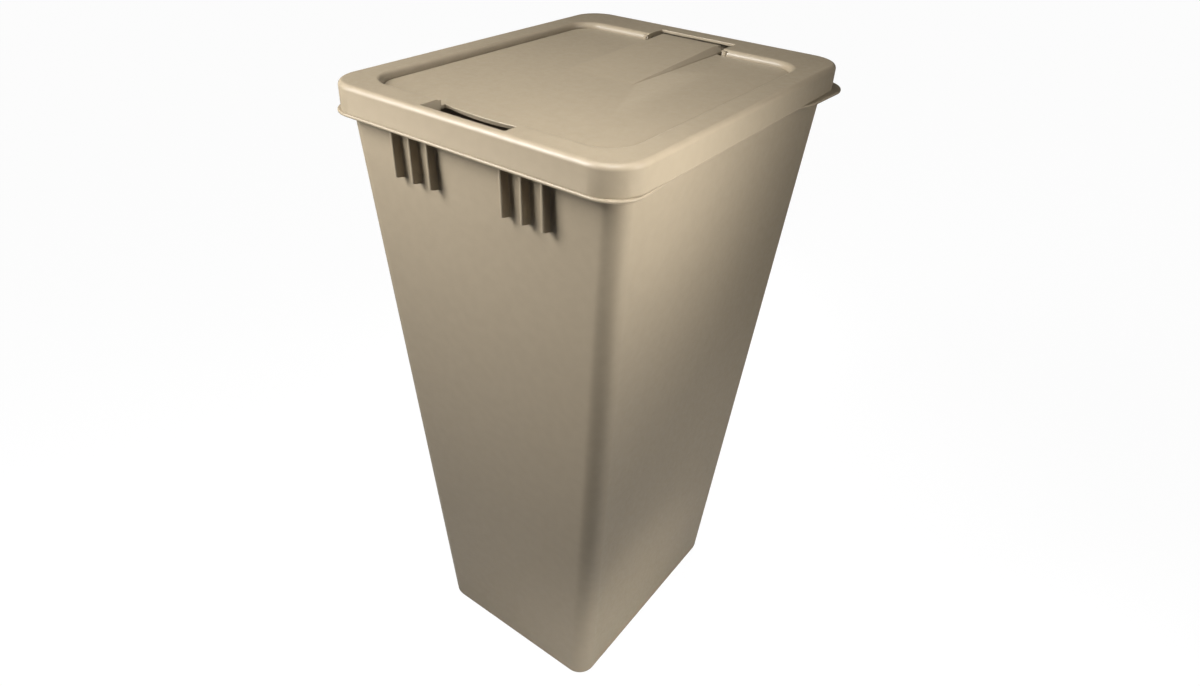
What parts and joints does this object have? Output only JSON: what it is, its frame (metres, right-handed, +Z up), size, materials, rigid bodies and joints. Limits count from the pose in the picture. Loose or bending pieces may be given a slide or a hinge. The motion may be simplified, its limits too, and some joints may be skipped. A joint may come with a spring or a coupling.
{
  "type": "waste bin",
  "caption": "Tall tapered rectangular moulded waste bin with a rim flange, a lift-off lid ring and a hinged inset flap with a finger slot.",
  "frame": {"origin": "centre of the bin's flat base", "axes": "+Z up, -Y towards the front with the ribs and the finger slot, +X to the right"},
  "size_m": [0.2788, 0.3409, 0.5775],
  "materials": {
    "bin_plastic": "satin moulded, fine grain",
    "lid_plastic": "satin moulded, fine grain",
    "flap_plastic": "satin moulded, fine grain",
    "pin_plastic": "satin, dark brown"
  },
  "bodies": {
    "bin": {"bin": "bin_plastic"},
    "lid": {"lid_ring": "lid_plastic", "hinge_pin": "pin_plastic"},
    "flap": {"flap": "flap_plastic"}
  },
  "joints": [
    {"name": "lid_lift", "type": "slide", "parent": "bin", "child": "lid", "axis": [0, 0, 1], "range_m": [0, 0.12]},
    {"name": "flap_hinge", "type": "hinge", "parent": "lid", "child": "flap", "pos_m": [0, 0.132, 0.5705], "axis": [-1, 0, 0], "range_deg": [0, 100]}
  ]
}
